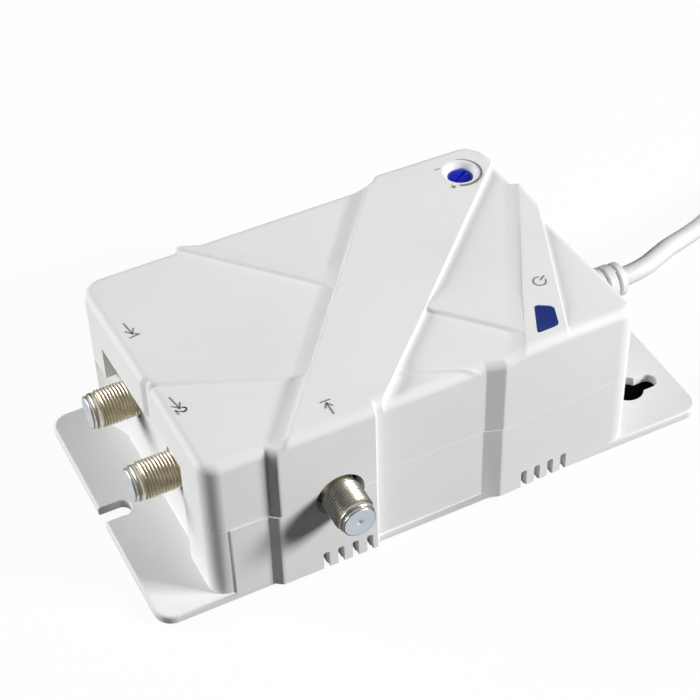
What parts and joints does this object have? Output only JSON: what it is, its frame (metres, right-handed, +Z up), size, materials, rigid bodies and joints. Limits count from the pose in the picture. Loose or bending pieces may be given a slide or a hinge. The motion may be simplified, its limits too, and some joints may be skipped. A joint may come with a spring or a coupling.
{
  "type": "tv signal amplifier",
  "caption": "Mains-powered indoor signal amplifier in a white two-shell plastic case with mounting flanges, threaded coaxial sockets, a gain dial, a power light and a mains lead.",
  "frame": {"origin": "centre of the base plate's underside", "axes": "+X along the case towards the mains lead, +Y to the back, +Z up"},
  "size_m": [0.2756, 0.0983, 0.0464],
  "materials": {
    "case_plastic": "white moulded plastic, satin",
    "blue_plastic": "deep blue moulded plastic",
    "blue_lens": "dark blue tinted, glossy",
    "nickel": "bright nickel plate with a warm tint",
    "insulator": "white plastic, smooth",
    "contact": "spring contact, plain",
    "soft_white": "white flexible plastic, satin",
    "steel": "zinc plate",
    "tinned_sheet": "tinned sheet, dull",
    "board_green": "green solder resist, satin",
    "component_blue": "blue moulded plastic",
    "component_dark_blue": "dark blue sleeve, satin",
    "component_black": "black moulding, matt",
    "component_tan": "ceramic, matt",
    "component_green": "green moulded plastic",
    "ferrite": "dark ferrite, matt",
    "iron": "stacked laminations, varnished",
    "winding": "yellow insulating tape over copper wire",
    "fuse_glass": "clear glass tube with metal caps",
    "black_aluminium": "black anodised, matt",
    "wire_brown": "brown insulation, satin"
  },
  "bodies": {
    "amplifier": {"lower_case": "case_plastic", "upper_case": "case_plastic", "case_screws": "steel", "power_lens": "blue_lens", "circuit_board": "board_green", "board_screws": "steel", "shield_frame": "tinned_sheet", "shield_lid": "tinned_sheet", "input_connector_shell": "nickel", "input_connector_insulator": "insulator", "input_connector_contact": "contact", "output_1_shell": "nickel", "output_1_insulator": "insulator", "output_1_contact": "contact", "output_2_shell": "nickel", "output_2_insulator": "insulator", "output_2_contact": "contact", "gain_potentiometer": "component_blue", "splitter_core": "ferrite", "amplifier_transistors": "component_black", "chip_capacitors": "component_tan", "power_led": "blue_lens", "transformer_core": "iron", "transformer_bobbin": "insulator", "transformer_winding": "winding", "fuse": "fuse_glass", "fuse_clips": "steel", "rectifier_diodes": "component_black", "smoothing_capacitor": "component_dark_blue", "voltage_regulator": "component_black", "heat_sink": "black_aluminium", "terminal_block": "component_green", "mains_wires": "wire_brown", "strain_relief": "soft_white", "power_cord": "soft_white", "power_cord_coil": "soft_white", "power_cord_tail": "soft_white", "coil_tie": "soft_white", "plug_body": "soft_white", "plug_pins": "nickel"},
    "gain_dial": {"gain_knob": "blue_plastic"}
  },
  "joints": [
    {"name": "gain_turn", "type": "hinge", "parent": "amplifier", "child": "gain_dial", "pos_m": [0.0382, 0.026, 0.0449], "axis": [0, 0, 1], "range_deg": [-120, 120]}
  ]
}
